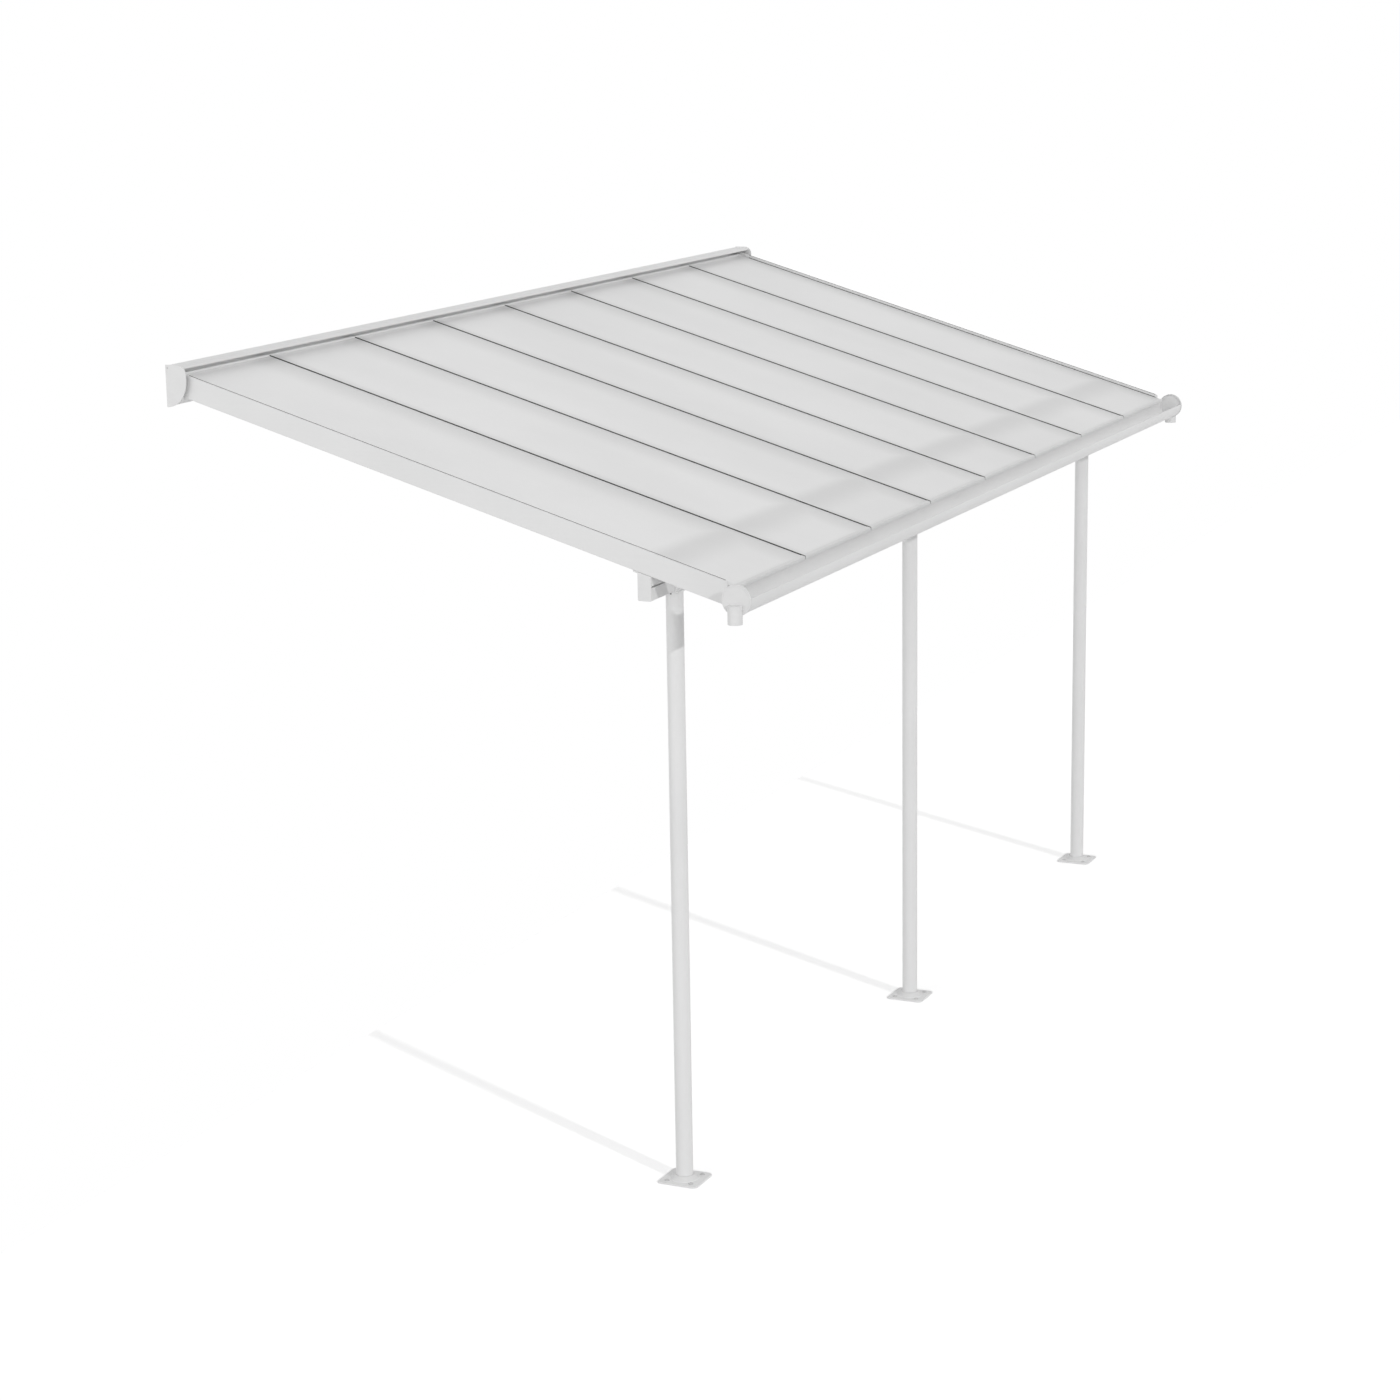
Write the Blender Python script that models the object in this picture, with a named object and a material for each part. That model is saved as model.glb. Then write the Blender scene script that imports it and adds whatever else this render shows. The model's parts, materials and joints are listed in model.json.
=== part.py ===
"""Attached patio cover: a white lean-to roof of eight sheets on a wall profile, a cross beam and three round posts.

Metres, +Z up. +X runs along the wall, +Y points at the wall. The origin lies on the flat back
of the wall profile, in the middle of its length and height.
"""
import math

import bmesh
import bpy
from mathutils import Vector

# fits
FIT_GAP = 0.0003
SLEEVE_CLEARANCE = 0.0004

# working values: how far a cutter runs past the face it cuts, and the step that keeps two rings apart
OVERRUN = 0.001
RING_STEP = 0.0002
MERGE_DISTANCE = 0.00005
SMOOTH_ANGLE = math.radians(35)

# roof plane: the upper face of the sheets; heights are above the ground
WALL_PROFILE_TOP = 2.6545
HOOD_HEADROOM = 0.0225
ROOF_PITCH = math.radians(16.2)
ROOF_HEIGHT_AT_WALL = WALL_PROFILE_TOP - HOOD_HEADROOM

# sheets and seams
BAY = 0.57375
BAY_COUNT = 8
SEAM_GAP = 0.005
EDGE_TRIM = 0.016
SHEET_EDGE_X = BAY * BAY_COUNT / 2 - EDGE_TRIM
SHEET_THICKNESS = 0.008
SHEET_TOP_Y = -0.027

# rafters and side beams
BEAM_DEPTH = 0.0635
RAFTER_WIDTH = 0.044
RAFTER_TOP_Y = -0.010
SIDE_GROOVE_WIDTH = 0.002
SIDE_LIP_WIDTH = 0.006
SIDE_LIP_RISE = 0.0115
SIDE_BEAM_OUTER_X = SHEET_EDGE_X + SIDE_GROOVE_WIDTH + SIDE_LIP_WIDTH
SIDE_BEAM_WIDTH = 0.044
GROOVE_DEPTH = 0.016
EDGE_CHAMFER = 0.0015

# wall profile
WALL_PROFILE_OVERHANG = 0.0147
WALL_PROFILE_HALF_LENGTH = SIDE_BEAM_OUTER_X + WALL_PROFILE_OVERHANG
WALL_PROFILE_DEPTH = 0.0745
WALL_SKIN = 0.0035
NOSE_RADIUS = 0.027
NOSE_SWEEP = 47.0
BELLY_DROP = 0.047
ARM_REACH = 0.052
ARM_DROP = 0.0293
WALL_CAP_RIM = 0.003
WALL_CAP_THICKNESS = 0.003

# gutter
GUTTER_Y = -2.0455
GUTTER_DROP = 0.0234
GUTTER_RADIUS = 0.0475
GUTTER_SKIN = 0.003
GUTTER_BACK_ANGLE = 28.0
GUTTER_LIP_ANGLE = 9.0
SHEET_OVERHANG_INSET = 0.0249
SHEET_FOOT_Y = GUTTER_Y + SHEET_OVERHANG_INSET

# gutter end caps
GUTTER_CAP_OVERHANG = 0.043
GUTTER_CAP_OUTER_X = SIDE_BEAM_OUTER_X + GUTTER_CAP_OVERHANG
GUTTER_CAP_PLATE = 0.003
GUTTER_CAP_RECESS = 0.0012
GUTTER_CAP_RIM = 0.0038
GUTTER_CAP_SKIN = 0.0013
GUTTER_CAP_SLEEVE = 0.009
GUTTER_CAP_EDGE = 0.0008
GUTTER_HALF_LENGTH = GUTTER_CAP_OUTER_X - GUTTER_CAP_RECESS - GUTTER_CAP_PLATE - FIT_GAP

# drain spouts
SPOUT_OFFSET_X = 0.004
SPOUT_OFFSET_Y = 0.002
SPOUT_RADIUS = 0.0235
SPOUT_BORE = 0.0205
SPOUT_FOOT_DROP = 0.0735
SPOUT_TOP_DROP = 0.0143
SPOUT_ROOF = 0.003
DRAIN_HOLE_RADIUS = 0.011
DRAIN_HOLE_DROP = 0.029

# cross beam
CROSS_BEAM_INSET = 0.001
CROSS_BEAM_SETBACK = 0.3289
CROSS_BEAM_Y = GUTTER_Y + CROSS_BEAM_SETBACK
CROSS_BEAM_WIDTH = 0.044
CROSS_BEAM_HEIGHT = 0.0770
CROSS_BEAM_FLANGE_REACH = 0.018
CROSS_BEAM_FLANGE_SKIN = 0.005
CROSS_BEAM_HALF_LENGTH = SIDE_BEAM_OUTER_X - CROSS_BEAM_INSET
CROSS_BEAM_CAP_THICKNESS = 0.004
CROSS_BEAM_CAP_RIM = 0.001
CROSS_BEAM_CAP_CHAMFER = 0.003
CROSS_BEAM_SLOT = 0.006
CROSS_BEAM_SLOT_DEPTH = 0.010
CROSS_BEAM_SLOT_RISE = 0.0435

# posts
POST_INSET = 0.2003
POST_X = CROSS_BEAM_HALF_LENGTH - POST_INSET
POST_SETFORWARD = 0.0075
POST_Y = CROSS_BEAM_Y - POST_SETFORWARD
POST_DIAMETER = 0.057
POST_WALL = 0.0025
FOOT_PLATE = 0.144
FOOT_PLATE_ROUND = 0.018
FOOT_PLATE_THICKNESS = 0.005
FOOT_PLATE_CHAMFER = 0.0015
FOOT_BOSS_DIAMETER = 0.096
FOOT_BOSS_HEIGHT = 0.014
FOOT_BOSS_MARGIN = 0.004
SPIGOT_LENGTH = 0.060
BRACKET_PLATE = 0.004
BRACKET_CHEEK = 0.003
BRACKET_CHEEK_RISE = 0.052

TAN_PITCH = math.tan(ROOF_PITCH)
SEC_PITCH = 1 / math.cos(ROOF_PITCH)


def roof_z(y, depth=0.0):
    """Height of the roof plane at y, less a depth measured square to it."""
    return ROOF_HEIGHT_AT_WALL + TAN_PITCH * y - depth * SEC_PITCH


WALL_PROFILE_FOOT = roof_z(-ARM_REACH, BEAM_DEPTH + FIT_GAP) - ARM_DROP
MOUNT_HEIGHT = (WALL_PROFILE_TOP + WALL_PROFILE_FOOT) / 2
GUTTER_Z = roof_z(GUTTER_Y) - GUTTER_DROP
CROSS_BEAM_FRONT = CROSS_BEAM_Y - CROSS_BEAM_WIDTH / 2
CROSS_BEAM_BACK = CROSS_BEAM_Y + CROSS_BEAM_WIDTH / 2
CROSS_BEAM_BOTTOM_Z = roof_z(CROSS_BEAM_FRONT, BEAM_DEPTH + FIT_GAP) - CROSS_BEAM_HEIGHT
CROSS_BEAM_SLOT_Z = CROSS_BEAM_BOTTOM_Z + CROSS_BEAM_SLOT_RISE


def material(name, colour, roughness, metallic):
    mat = bpy.data.materials.new(name)
    mat.use_nodes = True
    shader = mat.node_tree.nodes["Principled BSDF"]
    shader.inputs["Base Color"].default_value = (*colour, 1.0)
    shader.inputs["Roughness"].default_value = roughness
    shader.inputs["Metallic"].default_value = metallic
    mat.diffuse_color = (*colour, 1.0)
    return mat


def finish(bm, name, mat, smooth=False):
    """Turns a bmesh into one named object, moved so the wall mount is the origin."""
    bmesh.ops.remove_doubles(bm, verts=bm.verts, dist=MERGE_DISTANCE)
    bmesh.ops.recalc_face_normals(bm, faces=bm.faces)
    bmesh.ops.translate(bm, vec=Vector((0, 0, -MOUNT_HEIGHT)), verts=bm.verts)
    if smooth:
        for face in bm.faces:
            face.smooth = True
        for edge in bm.edges:
            edge.smooth = edge.calc_face_angle(0.0) < SMOOTH_ANGLE
    mesh = bpy.data.meshes.new(name)
    bm.to_mesh(mesh)
    bm.free()
    mesh.materials.append(mat)
    obj = bpy.data.objects.new(name, mesh)
    bpy.context.scene.collection.objects.link(obj)
    return obj


def loft(rings):
    """Closed body through rings of equal point count, with flat ends."""
    bm = bmesh.new()
    rows = [[bm.verts.new(p) for p in ring] for ring in rings]
    for low, high in zip(rows, rows[1:]):
        for i in range(len(low)):
            j = (i + 1) % len(low)
            bm.faces.new((low[i], low[j], high[j], high[i]))
    bm.faces.new(rows[0][::-1])
    bm.faces.new(rows[-1])
    return bm


def extrude_along_x(section, x0, x1):
    """Section points are (y, z)."""
    return loft([[(x, y, z) for y, z in section] for x in (x0, x1)])


def extrude_down_slope(section, y0, y1):
    """Section points are (x, depth below the roof plane). The ends are cut upright."""
    return loft([[(x, y, roof_z(y, d)) for x, d in section] for y in (y0, y1)])


def arc(cx, cy, radius, start, end, steps):
    return [(cx + radius * math.cos(math.radians(start + (end - start) * i / steps)),
             cy + radius * math.sin(math.radians(start + (end - start) * i / steps)))
            for i in range(steps + 1)]


def rounded_square(width, radius, steps=8):
    """Outline about its own middle, as (x, y). Its points pair with those of ring()."""
    half = width / 2 - radius
    points = []
    for cx, cy, start in ((half, half, 0), (-half, half, 90), (-half, -half, 180), (half, -half, 270)):
        points += arc(cx, cy, radius, start, start + 90, steps)
    return points


def ring(diameter):
    """Round outline with the same count of points as a rounded square."""
    return rounded_square(diameter, diameter / 2)


def combine(base, tool, operation):
    """Exact Boolean of two bmeshes, through modifiers on throwaway objects."""
    pair = []
    for bm in (base, tool):
        bmesh.ops.recalc_face_normals(bm, faces=bm.faces)
        mesh = bpy.data.meshes.new("working")
        bm.to_mesh(mesh)
        bm.free()
        obj = bpy.data.objects.new("working", mesh)
        bpy.context.scene.collection.objects.link(obj)
        pair.append(obj)
    modifier = pair[0].modifiers.new("cut", "BOOLEAN")
    modifier.operation = operation
    modifier.solver = "EXACT"
    modifier.object = pair[1]
    bpy.context.view_layer.update()
    graph = bpy.context.evaluated_depsgraph_get()
    result = bmesh.new()
    result.from_object(pair[0], graph)
    for obj in pair:
        mesh = obj.data
        bpy.data.objects.remove(obj)
        bpy.data.meshes.remove(mesh)
    return result


def move_down_prism(outline, x, y, z0, z1):
    """Upright prism of an outline given about its own middle."""
    return loft([[(x + px, y + py, z) for px, py in outline] for z in (z0, z1)])


def belly(depth, foot, turns):
    """Lower front curve of the wall profile: a quarter ellipse, at the given shares of its quarter turn."""
    middle = WALL_PROFILE_TOP - BELLY_DROP
    return [(depth * math.cos(t * math.pi / 2), middle - (middle - foot) * math.sin(t * math.pi / 2)) for t in turns]


def wall_profile_section():
    """Back plate, round-nosed hood over the sheets and a curved arm under the rafters, as (y, z)."""
    top = WALL_PROFILE_TOP
    foot = WALL_PROFILE_FOOT
    nose = (WALL_PROFILE_DEPTH - NOSE_RADIUS, top - NOSE_RADIUS)
    outer = [(0.0, foot), (0.0, top)]
    outer += arc(*nose, NOSE_RADIUS, 90, 90 - NOSE_SWEEP, 8)
    outer += arc(*nose, NOSE_RADIUS - WALL_SKIN, 90 - NOSE_SWEEP, 90, 8)
    outer += [(WALL_SKIN, top - WALL_SKIN)]
    under = BEAM_DEPTH + FIT_GAP
    shallow = WALL_PROFILE_DEPTH - WALL_SKIN
    inner_reach = ARM_REACH - WALL_SKIN
    start = math.acos(WALL_SKIN / shallow) / (math.pi / 2)
    end = math.acos(inner_reach / shallow) / (math.pi / 2)
    outer += belly(shallow, foot + WALL_SKIN, [start + (end - start) * i / 7 for i in range(8)])
    outer += [(inner_reach, roof_z(-inner_reach, under)), (ARM_REACH, roof_z(-ARM_REACH, under))]
    end = math.acos(ARM_REACH / WALL_PROFILE_DEPTH) / (math.pi / 2)
    outer += belly(WALL_PROFILE_DEPTH, foot, [end + (1 - end) * i / 8 for i in range(8)])
    return [(-d, z) for d, z in outer]


def wall_cap_outline():
    """Outline of the plates that close the wall profile, a rim wider than it, as (y, z)."""
    top = WALL_PROFILE_TOP + WALL_CAP_RIM
    foot = WALL_PROFILE_FOOT - WALL_CAP_RIM
    nose = (WALL_PROFILE_DEPTH - NOSE_RADIUS, WALL_PROFILE_TOP - NOSE_RADIUS)
    points = [(0.0, foot), (0.0, top)]
    points += arc(*nose, NOSE_RADIUS + WALL_CAP_RIM, 90, 0, 10)
    points += belly(WALL_PROFILE_DEPTH + WALL_CAP_RIM, foot, [i / 16 for i in range(16)])
    return [(-d, z) for d, z in points]


def gutter_section():
    """Open half-round trough with rounded lips, as (y, z)."""
    inner = GUTTER_RADIUS - GUTTER_SKIN
    back = GUTTER_BACK_ANGLE
    lip = -180.0 - GUTTER_LIP_ANGLE
    return arc(GUTTER_Y, GUTTER_Z, GUTTER_RADIUS, back, lip, 32) + arc(GUTTER_Y, GUTTER_Z, inner, lip, back, 32)


def turned_about_gutter(side, profile, steps=48):
    """Closed body of revolution about the gutter's own axis, from (x, radius) pairs, with flat ends."""
    return loft([[(side * x, y, z) for y, z in arc(GUTTER_Y, GUTTER_Z, r, 0, 360, steps)[:-1]] for x, r in profile])


def gutter_cap_body(side):
    """Disc with a raised rim and a sleeve round the end of the trough, pierced low down by a drain hole."""
    inner = GUTTER_RADIUS + SLEEVE_CLEARANCE
    outer = inner + GUTTER_CAP_SKIN
    rim = outer - GUTTER_CAP_RIM
    open_end = GUTTER_CAP_OUTER_X - GUTTER_CAP_SLEEVE
    face = GUTTER_CAP_OUTER_X - GUTTER_CAP_RECESS
    body = turned_about_gutter(side, [
        (face - GUTTER_CAP_PLATE, inner), (open_end, inner), (open_end, outer),
        (GUTTER_CAP_OUTER_X - GUTTER_CAP_EDGE, outer), (GUTTER_CAP_OUTER_X, outer - GUTTER_CAP_EDGE),
        (GUTTER_CAP_OUTER_X, rim), (face, rim)])
    hole = arc(GUTTER_Y + SPOUT_OFFSET_Y, GUTTER_Z - DRAIN_HOLE_DROP, DRAIN_HOLE_RADIUS, 0, 360, 24)[:-1]
    drill = extrude_along_x(hole, side * (face - GUTTER_CAP_PLATE - OVERRUN), side * (face + OVERRUN))
    return combine(body, drill, "DIFFERENCE")


def drain_spout_body(side):
    """Upright tube under the disc, with a closed half-round boss that stands against the disc's face."""
    x = side * (GUTTER_CAP_OUTER_X + SPOUT_OFFSET_X)
    y = GUTTER_Y + SPOUT_OFFSET_Y
    foot = GUTTER_Z - SPOUT_FOOT_DROP
    top = GUTTER_Z - SPOUT_TOP_DROP
    tube = move_down_prism(arc(0, 0, SPOUT_RADIUS, 0, 360, 40)[:-1], x, y, foot, top)
    bore = move_down_prism(arc(0, 0, SPOUT_BORE, 0, 360, 40)[:-1], x, y, foot - OVERRUN, top - SPOUT_ROOF)
    tube = combine(tube, bore, "DIFFERENCE")
    outer = GUTTER_RADIUS + SLEEVE_CLEARANCE + GUTTER_CAP_SKIN
    rim = outer - GUTTER_CAP_RIM - FIT_GAP
    face = GUTTER_CAP_OUTER_X - GUTTER_CAP_RECESS
    room = turned_about_gutter(side, [
        (GUTTER_CAP_OUTER_X - 2 * SPOUT_RADIUS, outer + FIT_GAP),
        (GUTTER_CAP_OUTER_X + FIT_GAP, outer + FIT_GAP),
        (GUTTER_CAP_OUTER_X + FIT_GAP, rim), (face + FIT_GAP, rim)], 64)
    return combine(tube, room, "DIFFERENCE")


def cross_beam_section():
    """Box with a slot along its front and a flange that follows the rafters, as (y, z)."""
    front = CROSS_BEAM_FRONT
    back = CROSS_BEAM_BACK
    tip = back + CROSS_BEAM_FLANGE_REACH
    under = BEAM_DEPTH + FIT_GAP
    flange = under + CROSS_BEAM_FLANGE_SKIN
    slot = CROSS_BEAM_SLOT / 2
    c = EDGE_CHAMFER
    return [
        (front + c, CROSS_BEAM_BOTTOM_Z), (back - c, CROSS_BEAM_BOTTOM_Z), (back, CROSS_BEAM_BOTTOM_Z + c),
        (back, roof_z(back, flange)), (tip, roof_z(tip, flange)), (tip, roof_z(tip, under)),
        (front, roof_z(front, under)),
        (front, CROSS_BEAM_SLOT_Z + slot), (front + CROSS_BEAM_SLOT_DEPTH, CROSS_BEAM_SLOT_Z + slot),
        (front + CROSS_BEAM_SLOT_DEPTH, CROSS_BEAM_SLOT_Z - slot), (front, CROSS_BEAM_SLOT_Z - slot),
        (front, CROSS_BEAM_BOTTOM_Z + c),
    ]


def cross_beam_cap_section():
    """Plate over the open end of the cross beam, a rim wider than its box, as (y, z)."""
    front = CROSS_BEAM_FRONT - CROSS_BEAM_CAP_RIM
    back = CROSS_BEAM_BACK + CROSS_BEAM_CAP_RIM
    low = CROSS_BEAM_BOTTOM_Z - CROSS_BEAM_CAP_RIM
    under = BEAM_DEPTH + FIT_GAP
    c = CROSS_BEAM_CAP_CHAMFER
    return [(front + c, low), (back - c, low), (back, low + c), (back, roof_z(back, under)),
            (front, roof_z(front, under)), (front, low + c)]


def rafter_section(x, width):
    """Bar with a narrow groove under the seam, as (x, depth)."""
    half = width / 2
    seat = SHEET_THICKNESS + FIT_GAP
    groove = SEAM_GAP / 2
    c = EDGE_CHAMFER
    return [
        (x - half, seat + c), (x - half + c, seat), (x - groove, seat), (x - groove, GROOVE_DEPTH),
        (x + groove, GROOVE_DEPTH), (x + groove, seat), (x + half - c, seat), (x + half, seat + c),
        (x + half, BEAM_DEPTH - c), (x + half - c, BEAM_DEPTH), (x - half + c, BEAM_DEPTH),
        (x - half, BEAM_DEPTH - c),
    ]


def side_beam_section(side):
    """Bar with an outer lip that stands above the sheets and a groove beside their edge, as (x, depth)."""
    outer = SIDE_BEAM_OUTER_X
    lip = outer - SIDE_LIP_WIDTH
    seat = SHEET_THICKNESS + FIT_GAP
    inner = outer - SIDE_BEAM_WIDTH
    c = EDGE_CHAMFER
    points = [
        (inner, seat + c), (inner + c, seat), (SHEET_EDGE_X, seat), (SHEET_EDGE_X, GROOVE_DEPTH),
        (lip, GROOVE_DEPTH), (lip, c - SIDE_LIP_RISE), (lip + c, -SIDE_LIP_RISE), (outer - c, -SIDE_LIP_RISE),
        (outer, c - SIDE_LIP_RISE),
        (outer, BEAM_DEPTH - c), (outer - c, BEAM_DEPTH), (inner + c, BEAM_DEPTH), (inner, BEAM_DEPTH - c),
    ]
    return [(side * x, d) for x, d in points]


def post_body(x):
    foot = FOOT_PLATE_THICKNESS + FOOT_BOSS_HEIGHT + FIT_GAP
    head = CROSS_BEAM_BOTTOM_Z - BRACKET_PLATE - 2 * FIT_GAP
    outline = ring(POST_DIAMETER)
    bore = ring(POST_DIAMETER - 2 * POST_WALL)
    bm = bmesh.new()
    rows = []
    for points, z in ((outline, foot), (outline, head), (bore, head), (bore, foot)):
        rows.append([bm.verts.new((x + px, POST_Y + py, z)) for px, py in points])
    for k in range(4):
        low, high = rows[k], rows[(k + 1) % 4]
        for i in range(len(low)):
            j = (i + 1) % len(low)
            bm.faces.new((low[i], low[j], high[j], high[i]))
    return bm


def spigot_outline():
    return ring(POST_DIAMETER - 2 * POST_WALL - 2 * FIT_GAP)


def post_foot_body(x):
    """Square plate, low round boss and a spigot that stands inside the post, stacked as one body."""
    plate = rounded_square(FOOT_PLATE, FOOT_PLATE_ROUND)
    plate_top = rounded_square(FOOT_PLATE - 2 * FOOT_PLATE_CHAMFER, FOOT_PLATE_ROUND - FOOT_PLATE_CHAMFER)
    boss = ring(FOOT_BOSS_DIAMETER)
    boss_top = ring(POST_DIAMETER + 2 * FOOT_BOSS_MARGIN)
    spigot = spigot_outline()
    shoulder = FOOT_PLATE_THICKNESS + FOOT_BOSS_HEIGHT
    rings = ((plate, 0.0), (plate, FOOT_PLATE_THICKNESS - FOOT_PLATE_CHAMFER), (plate_top, FOOT_PLATE_THICKNESS),
             (boss, FOOT_PLATE_THICKNESS + RING_STEP), (boss_top, shoulder - RING_STEP), (spigot, shoulder),
             (spigot, shoulder + SPIGOT_LENGTH))
    return loft([[(x + px, POST_Y + py, z) for px, py in points] for points, z in rings])


def post_bracket_body(x):
    """Saddle between post and cross beam: a plate, cheeks front and back, and a spigot down the post."""
    front = CROSS_BEAM_FRONT - FIT_GAP
    back = CROSS_BEAM_BACK + FIT_GAP
    plate_front = min(front - BRACKET_CHEEK, POST_Y - POST_DIAMETER / 2) - RING_STEP
    seat = CROSS_BEAM_BOTTOM_Z - FIT_GAP
    low = seat - BRACKET_PLATE
    rise = CROSS_BEAM_BOTTOM_Z + BRACKET_CHEEK_RISE
    section = [(plate_front, low), (back + BRACKET_CHEEK, low), (back + BRACKET_CHEEK, rise), (back, rise),
               (back, seat), (front, seat), (front, rise), (front - BRACKET_CHEEK, rise),
               (front - BRACKET_CHEEK, seat), (plate_front, seat)]
    saddle = extrude_along_x(section, x - POST_DIAMETER / 2, x + POST_DIAMETER / 2)
    spigot = move_down_prism(spigot_outline(), x, POST_Y, low - SPIGOT_LENGTH, low + OVERRUN)
    return combine(saddle, spigot, "UNION")


def build():
    for obj in list(bpy.data.objects):
        bpy.data.objects.remove(obj)

    white = {
        "wall": material("wall_profile_white", (0.80, 0.80, 0.79), 0.42, 0.0),
        "side": material("side_beam_white", (0.80, 0.80, 0.79), 0.42, 0.0),
        "rafter": material("rafter_white", (0.80, 0.80, 0.79), 0.42, 0.0),
        "cross": material("cross_beam_white", (0.80, 0.80, 0.79), 0.42, 0.0),
        "post": material("post_white", (0.80, 0.80, 0.79), 0.42, 0.0),
        "gutter": material("gutter_white", (0.80, 0.80, 0.79), 0.38, 0.0),
        "cap": material("cap_white_plastic", (0.78, 0.78, 0.77), 0.50, 0.0),
        "spout": material("spout_white_plastic", (0.78, 0.78, 0.77), 0.50, 0.0),
        "bracket": material("bracket_white", (0.78, 0.78, 0.77), 0.48, 0.0),
    }
    sheet = material("sheet_opal", (0.86, 0.87, 0.87), 0.35, 0.0)

    finish(extrude_along_x(wall_profile_section(), -WALL_PROFILE_HALF_LENGTH, WALL_PROFILE_HALF_LENGTH),
           "wall_profile", white["wall"], smooth=True)
    for side, label in ((-1, "left"), (1, "right")):
        x0 = WALL_PROFILE_HALF_LENGTH + FIT_GAP
        cap = extrude_along_x(wall_cap_outline(), side * x0, side * (x0 + WALL_CAP_THICKNESS))
        finish(cap, f"wall_profile_end_cap_{label}", white["cap"])
        finish(extrude_down_slope(side_beam_section(side), RAFTER_TOP_Y, GUTTER_Y + GUTTER_RADIUS + FIT_GAP),
               f"side_beam_{label}", white["side"])
    for i in range(1, BAY_COUNT):
        x = (i - BAY_COUNT / 2) * BAY
        finish(extrude_down_slope(rafter_section(x, RAFTER_WIDTH), RAFTER_TOP_Y, GUTTER_Y + GUTTER_RADIUS + FIT_GAP),
               f"rafter_{i}", white["rafter"])
    for i in range(BAY_COUNT):
        x0 = max((i - BAY_COUNT / 2) * BAY + SEAM_GAP / 2, -SHEET_EDGE_X)
        x1 = min((i + 1 - BAY_COUNT / 2) * BAY - SEAM_GAP / 2, SHEET_EDGE_X)
        section = [(x0, 0.0), (x1, 0.0), (x1, SHEET_THICKNESS), (x0, SHEET_THICKNESS)]
        finish(extrude_down_slope(section, SHEET_TOP_Y, SHEET_FOOT_Y), f"roof_sheet_{i + 1}", sheet)
    finish(extrude_along_x(gutter_section(), -GUTTER_HALF_LENGTH, GUTTER_HALF_LENGTH),
           "gutter", white["gutter"], smooth=True)
    for side, label in ((-1, "left"), (1, "right")):
        finish(gutter_cap_body(side), f"gutter_end_cap_{label}", white["cap"], smooth=True)
        finish(drain_spout_body(side), f"drain_spout_{label}", white["spout"], smooth=True)
    finish(extrude_along_x(cross_beam_section(), -CROSS_BEAM_HALF_LENGTH, CROSS_BEAM_HALF_LENGTH),
           "cross_beam", white["cross"])
    for side, label in ((-1, "left"), (1, "right")):
        x0 = CROSS_BEAM_HALF_LENGTH + FIT_GAP
        finish(extrude_along_x(cross_beam_cap_section(), side * x0, side * (x0 + CROSS_BEAM_CAP_THICKNESS)),
               f"cross_beam_end_cap_{label}", white["cap"])
    for i, x in enumerate((-POST_X, 0.0, POST_X), start=1):
        finish(post_body(x), f"post_{i}", white["post"], smooth=True)
        finish(post_foot_body(x), f"post_foot_{i}", white["bracket"], smooth=True)
        finish(post_bracket_body(x), f"post_top_bracket_{i}", white["bracket"], smooth=True)


build()
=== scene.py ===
"""Attached patio cover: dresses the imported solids, builds the sheets, seals and screws, and lights them."""
import json
import logging
import math
from dataclasses import dataclass
from enum import Enum
from typing import Iterable, Sequence, Union

import bmesh
import bpy
from mathutils import Matrix, Vector


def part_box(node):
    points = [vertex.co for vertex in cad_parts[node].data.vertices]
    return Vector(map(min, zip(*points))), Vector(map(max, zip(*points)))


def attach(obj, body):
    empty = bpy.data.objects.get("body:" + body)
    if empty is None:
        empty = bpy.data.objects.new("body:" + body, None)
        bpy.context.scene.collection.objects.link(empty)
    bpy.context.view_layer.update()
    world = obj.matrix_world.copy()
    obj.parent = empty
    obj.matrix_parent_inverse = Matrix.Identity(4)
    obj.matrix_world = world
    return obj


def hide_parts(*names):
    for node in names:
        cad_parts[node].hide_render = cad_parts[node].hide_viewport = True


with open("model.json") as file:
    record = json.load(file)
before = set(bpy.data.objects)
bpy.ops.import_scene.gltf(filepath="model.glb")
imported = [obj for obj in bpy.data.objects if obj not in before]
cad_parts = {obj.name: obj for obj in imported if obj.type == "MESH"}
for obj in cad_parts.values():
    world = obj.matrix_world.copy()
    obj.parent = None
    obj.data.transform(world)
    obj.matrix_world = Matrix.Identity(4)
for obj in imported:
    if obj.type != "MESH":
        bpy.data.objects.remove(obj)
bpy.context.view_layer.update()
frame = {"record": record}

log = logging.getLogger("patio_cover")

Value = Union["Sock", float, int]
Key = Union[str, int]
Span = tuple[float, float]
Triple = tuple[float, float, float]
Colour = Triple

ROOF_PITCH = math.radians(16.2)
WALL_PROFILE_TOP = 2.6545
HOOD_HEADROOM = 0.0225
GROUND_Z = -2.5878273
ROOF_Z_AT_WALL = WALL_PROFILE_TOP - HOOD_HEADROOM + GROUND_Z
BAY = 0.57375
SHEET_COUNT = 8
SHEET_THICKNESS = 0.008
POST_DIAMETER = 0.057
MERGE_DISTANCE = 1e-6
BODY = "root"
WHITE = (1.0, 1.0, 1.0, 1.0)
UP = Vector((0.0, 0.0, 1.0))


def roof_z(y: float) -> float:
    """Height of the sheets' upper face above the part's origin, at a place from the wall."""
    return ROOF_Z_AT_WALL + math.tan(ROOF_PITCH) * y


def down_roof(top_y: float, foot_y: float) -> Vector:
    """The run from one place to another down the slope of the sheets."""
    return Vector((0.0, foot_y - top_y, roof_z(foot_y) - roof_z(top_y)))


def dulled(colour: Colour, share: float) -> Colour:
    """A colour with each channel scaled by a share."""
    return tuple(channel * share for channel in colour)


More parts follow.
